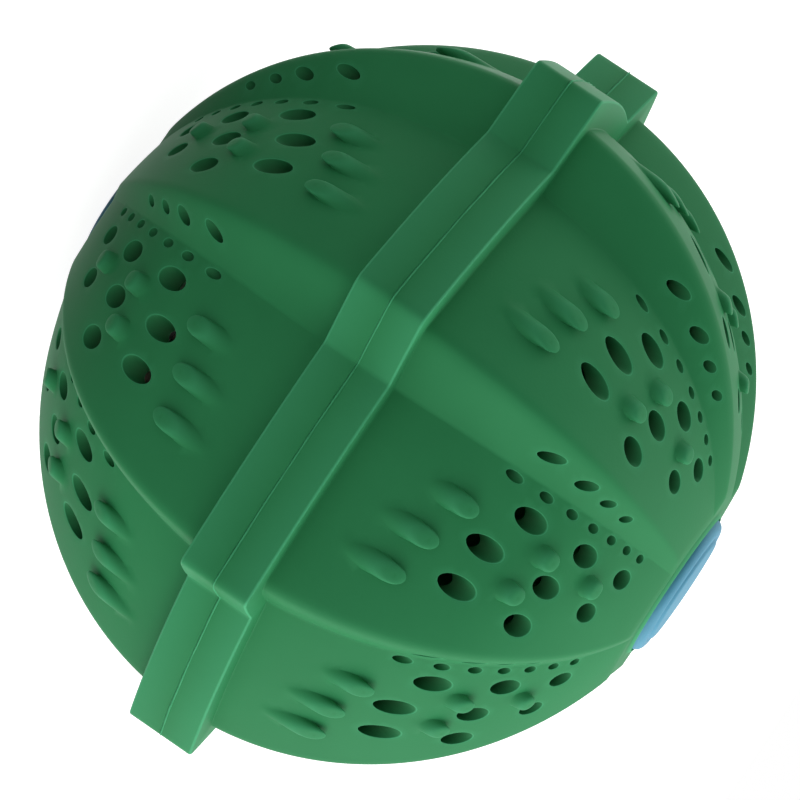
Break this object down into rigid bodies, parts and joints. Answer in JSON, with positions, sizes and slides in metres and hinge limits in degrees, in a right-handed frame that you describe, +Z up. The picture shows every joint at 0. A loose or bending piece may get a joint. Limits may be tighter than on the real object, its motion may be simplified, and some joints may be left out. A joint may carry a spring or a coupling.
{
  "type": "laundry ball",
  "caption": "Hollow perforated rubber washing ball of two saw-toothed half shells joined at a raised band, with a cap at each pole and loose ceramic beads inside.",
  "frame": {"origin": "centre of the lower pole cap's outer face, under the ball", "axes": "+Z up along the pole axis through both caps, square to the seam; a tooth notch lies on +X and on -Y"},
  "size_m": [0.0978, 0.0978, 0.084],
  "materials": {
    "green_rubber": "satin moulded thermoplastic rubber",
    "blue_plastic": "satin moulded polypropylene",
    "ferrite": "ground sintered ferrite",
    "white_ceramic": "unglazed fired ceramic",
    "grey_ceramic": "unglazed fired ceramic",
    "pink_ceramic": "unglazed fired ceramic",
    "brown_ceramic": "unglazed fired ceramic"
  },
  "bodies": {
    "lower_half": {"lower_shell": "green_rubber", "lower_pole_cap": "blue_plastic", "lower_magnet": "ferrite"},
    "upper_half": {"upper_shell": "green_rubber", "upper_pole_cap": "blue_plastic", "upper_magnet": "ferrite"},
    "bead_01": {"ceramic_bead_01": "white_ceramic"},
    "bead_02": {"ceramic_bead_02": "grey_ceramic"},
    "bead_03": {"ceramic_bead_03": "pink_ceramic"},
    "bead_04": {"ceramic_bead_04": "brown_ceramic"},
    "bead_05": {"ceramic_bead_05": "white_ceramic"},
    "bead_06": {"ceramic_bead_06": "grey_ceramic"},
    "bead_07": {"ceramic_bead_07": "pink_ceramic"},
    "bead_08": {"ceramic_bead_08": "brown_ceramic"},
    "bead_09": {"ceramic_bead_09": "white_ceramic"},
    "bead_10": {"ceramic_bead_10": "grey_ceramic"},
    "bead_11": {"ceramic_bead_11": "pink_ceramic"},
    "bead_12": {"ceramic_bead_12": "brown_ceramic"},
    "bead_13": {"ceramic_bead_13": "white_ceramic"},
    "bead_14": {"ceramic_bead_14": "grey_ceramic"},
    "bead_15": {"ceramic_bead_15": "pink_ceramic"},
    "bead_16": {"ceramic_bead_16": "brown_ceramic"},
    "bead_17": {"ceramic_bead_17": "white_ceramic"},
    "bead_18": {"ceramic_bead_18": "grey_ceramic"},
    "bead_19": {"ceramic_bead_19": "pink_ceramic"},
    "bead_20": {"ceramic_bead_20": "brown_ceramic"},
    "bead_21": {"ceramic_bead_21": "white_ceramic"},
    "bead_22": {"ceramic_bead_22": "grey_ceramic"},
    "bead_23": {"ceramic_bead_23": "pink_ceramic"},
    "bead_24": {"ceramic_bead_24": "brown_ceramic"}
  },
  "joints": [
    {"name": "upper_half_lift", "type": "slide", "parent": "lower_half", "child": "upper_half", "axis": [0, 0, 1], "range_m": [0, 0.06]},
    {"name": "bead_01_hop", "type": "slide", "parent": "lower_half", "child": "bead_01", "axis": [0, 0, 1], "range_m": [0, 0.061]},
    {"name": "bead_02_hop", "type": "slide", "parent": "lower_half", "child": "bead_02", "axis": [0, 0, 1], "range_m": [0, 0.061]},
    {"name": "bead_03_hop", "type": "slide", "parent": "lower_half", "child": "bead_03", "axis": [0, 0, 1], "range_m": [0, 0.061]},
    {"name": "bead_04_hop", "type": "slide", "parent": "lower_half", "child": "bead_04", "axis": [0, 0, 1], "range_m": [0, 0.061]},
    {"name": "bead_05_hop", "type": "slide", "parent": "lower_half", "child": "bead_05", "axis": [0, 0, 1], "range_m": [0, 0.061]},
    {"name": "bead_06_hop", "type": "slide", "parent": "lower_half", "child": "bead_06", "axis": [0, 0, 1], "range_m": [0, 0.061]},
    {"name": "bead_07_hop", "type": "slide", "parent": "lower_half", "child": "bead_07", "axis": [0, 0, 1], "range_m": [0, 0.061]},
    {"name": "bead_08_hop", "type": "slide", "parent": "lower_half", "child": "bead_08", "axis": [0, 0, 1], "range_m": [0, 0.061]},
    {"name": "bead_09_hop", "type": "slide", "parent": "lower_half", "child": "bead_09", "axis": [0, 0, 1], "range_m": [0, 0.0485]},
    {"name": "bead_10_hop", "type": "slide", "parent": "lower_half", "child": "bead_10", "axis": [0, 0, 1], "range_m": [0, 0.052]},
    {"name": "bead_11_hop", "type": "slide", "parent": "lower_half", "child": "bead_11", "axis": [0, 0, 1], "range_m": [0, 0.0485]},
    {"name": "bead_12_hop", "type": "slide", "parent": "lower_half", "child": "bead_12", "axis": [0, 0, 1], "range_m": [0, 0.052]},
    {"name": "bead_13_hop", "type": "slide", "parent": "lower_half", "child": "bead_13", "axis": [0, 0, 1], "range_m": [0, 0.0485]},
    {"name": "bead_14_hop", "type": "slide", "parent": "lower_half", "child": "bead_14", "axis": [0, 0, 1], "range_m": [0, 0.052]},
    {"name": "bead_15_hop", "type": "slide", "parent": "lower_half", "child": "bead_15", "axis": [0, 0, 1], "range_m": [0, 0.0485]},
    {"name": "bead_16_hop", "type": "slide", "parent": "lower_half", "child": "bead_16", "axis": [0, 0, 1], "range_m": [0, 0.052]},
    {"name": "bead_17_hop", "type": "slide", "parent": "lower_half", "child": "bead_17", "axis": [0, 0, 1], "range_m": [0, 0.0485]},
    {"name": "bead_18_hop", "type": "slide", "parent": "lower_half", "child": "bead_18", "axis": [0, 0, 1], "range_m": [0, 0.052]},
    {"name": "bead_19_hop", "type": "slide", "parent": "lower_half", "child": "bead_19", "axis": [0, 0, 1], "range_m": [0, 0.0485]},
    {"name": "bead_20_hop", "type": "slide", "parent": "lower_half", "child": "bead_20", "axis": [0, 0, 1], "range_m": [0, 0.052]},
    {"name": "bead_21_hop", "type": "slide", "parent": "lower_half", "child": "bead_21", "axis": [0, 0, 1], "range_m": [0, 0.0485]},
    {"name": "bead_22_hop", "type": "slide", "parent": "lower_half", "child": "bead_22", "axis": [0, 0, 1], "range_m": [0, 0.052]},
    {"name": "bead_23_hop", "type": "slide", "parent": "lower_half", "child": "bead_23", "axis": [0, 0, 1], "range_m": [0, 0.0485]},
    {"name": "bead_24_hop", "type": "slide", "parent": "lower_half", "child": "bead_24", "axis": [0, 0, 1], "range_m": [0, 0.052]}
  ]
}
